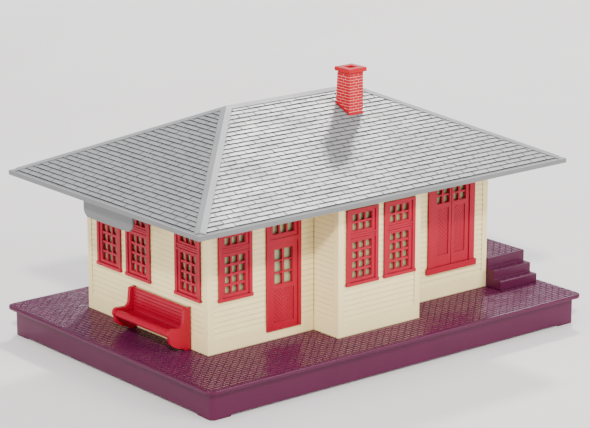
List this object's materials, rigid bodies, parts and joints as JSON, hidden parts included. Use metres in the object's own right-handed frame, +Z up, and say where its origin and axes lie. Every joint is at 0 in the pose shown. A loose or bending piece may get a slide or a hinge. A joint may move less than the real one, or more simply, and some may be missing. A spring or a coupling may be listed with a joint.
{
  "type": "model railway station building",
  "caption": "Model railway station: brick-paved base, clapboard walls with a projecting bay, steps up to a freight platform, bench, and a lift-off hip roof with a chimney.",
  "frame": {"origin": "on the ground, under the middle of the base", "axes": "+X along the long front wall towards the freight platform, -Y towards the front with the bay, +Z up"},
  "size_m": [0.29, 0.207, 0.1632],
  "materials": {
    "base_plastic": "satin moulded plum plastic",
    "wall_plastic": "satin moulded cream plastic",
    "trim_plastic": "semi-gloss moulded red plastic",
    "chimney_plastic": "semi-gloss moulded red plastic",
    "roof_plastic": "satin moulded light grey plastic",
    "clear_sheet": "clear sheet",
    "screw_steel": "zinc plated"
  },
  "bodies": {
    "station": {"base": "base_plastic", "platform": "base_plastic", "bench": "trim_plastic", "wall_front": "wall_plastic", "wall_rear": "wall_plastic", "wall_left": "wall_plastic", "wall_right": "wall_plastic", "bay": "wall_plastic", "window_front": "trim_plastic", "window_bay_left": "trim_plastic", "window_bay_right": "trim_plastic", "window_left_front": "trim_plastic", "window_left_middle": "trim_plastic", "window_left_back": "trim_plastic", "window_rear_1": "trim_plastic", "window_rear_2": "trim_plastic", "window_rear_3": "trim_plastic", "door_front": "trim_plastic", "door_rear": "trim_plastic", "freight_door_front": "trim_plastic", "freight_door_rear": "trim_plastic", "freight_door_end": "trim_plastic", "glazing_front": "clear_sheet", "glazing_bay": "clear_sheet", "glazing_freight": "clear_sheet", "glazing_left": "clear_sheet", "glazing_right": "clear_sheet", "glazing_rear_left": "clear_sheet", "glazing_rear_right": "clear_sheet", "base_screws": "screw_steel"},
    "roof": {"roof": "roof_plastic", "chimney": "chimney_plastic", "sign_board_left": "roof_plastic", "sign_board_right": "roof_plastic"}
  },
  "joints": [
    {"name": "roof_lift", "type": "slide", "parent": "station", "child": "roof", "axis": [0, 0, 1], "range_m": [0, 0.1]}
  ]
}
